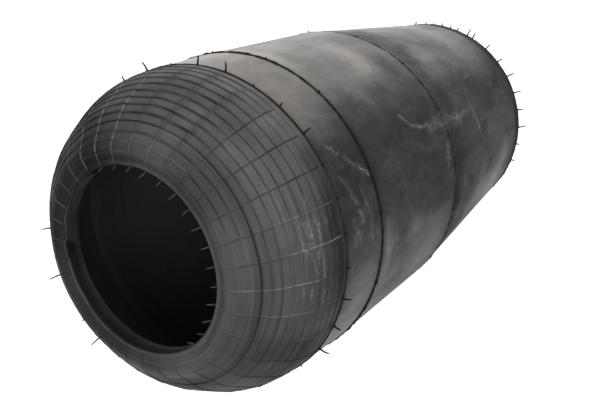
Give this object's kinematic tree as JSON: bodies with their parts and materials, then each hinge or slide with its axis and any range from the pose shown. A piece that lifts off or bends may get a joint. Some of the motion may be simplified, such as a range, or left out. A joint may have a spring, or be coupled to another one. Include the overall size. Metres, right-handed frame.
{
  "type": "air suspension spring bellows",
  "caption": "Bare rubber bellows of a rolling-lobe air spring: layered cord-reinforced sleeve with a domed open mouth, ribbed mould lines, wire-cored beads and vent hairs.",
  "frame": {"origin": "centre of the foot bead's flat face, on which the bellows stands, at the height of what it stands on", "axes": "+Z along the sleeve's axis from the foot bead up to the mouth bead; +X through one of the moulded ribs"},
  "size_m": [0.2598, 0.2598, 0.5155],
  "materials": {
    "cover_rubber": "moulded matte rubber with a dusty bloom and a soft sheen",
    "bead_rubber": "matte moulded rubber",
    "liner_rubber": "smooth dark calendered rubber",
    "flash_rubber": "thin torn flash and vent hairs",
    "filler_rubber": "hard extruded rubber",
    "cord_fabric": "rubberised nylon cord",
    "wrap_tape": "rubberised tape",
    "bead_wire": "bronze-coated drawn steel wire"
  },
  "bodies": {
    "sleeve": {"outer_cover": "cover_rubber", "outer_cord_ply": "cord_fabric", "inner_cord_ply": "cord_fabric", "inner_liner": "liner_rubber", "crown_rings": "cover_rubber", "crown_ribs": "cover_rubber", "foot_rings": "cover_rubber", "foot_ribs": "cover_rubber", "parting_flash": "flash_rubber", "upper_seam_flash": "flash_rubber", "lower_seam_flash": "flash_rubber", "rim_flash": "flash_rubber", "shoulder_hairs": "flash_rubber", "upper_seam_nubs": "flash_rubber", "lower_seam_nubs": "flash_rubber", "rim_hairs": "flash_rubber"},
    "mouth_bead": {"mouth_bead_strip": "bead_rubber", "mouth_bead_filler": "filler_rubber", "mouth_bead_wrap": "wrap_tape", "mouth_bead_wires": "bead_wire", "mouth_face_rings": "bead_rubber", "mouth_face_ribs": "bead_rubber"},
    "foot_bead": {"foot_bead_strip": "bead_rubber", "foot_bead_filler": "filler_rubber", "foot_bead_wrap": "wrap_tape", "foot_bead_wires": "bead_wire"}
  },
  "joints": [
    {"name": "rolling_stroke", "type": "slide", "parent": "sleeve", "child": "foot_bead", "axis": [0, 0, 1], "range_m": [0, 0.12], "stiffness_N_per_m": 8000, "deforming": ["outer_cover", "outer_cord_ply", "inner_cord_ply", "inner_liner", "foot_rings", "foot_ribs"]},
    {"name": "mouth_tilt", "type": "hinge", "parent": "sleeve", "child": "mouth_bead", "pos_m": [0, 0, 0.5077], "axis": [1, 0, 0], "range_deg": [-10, 10], "stiffness_Nm_per_rad": 60, "deforming": ["outer_cover", "outer_cord_ply", "inner_cord_ply", "inner_liner", "crown_rings", "crown_ribs"]}
  ]
}
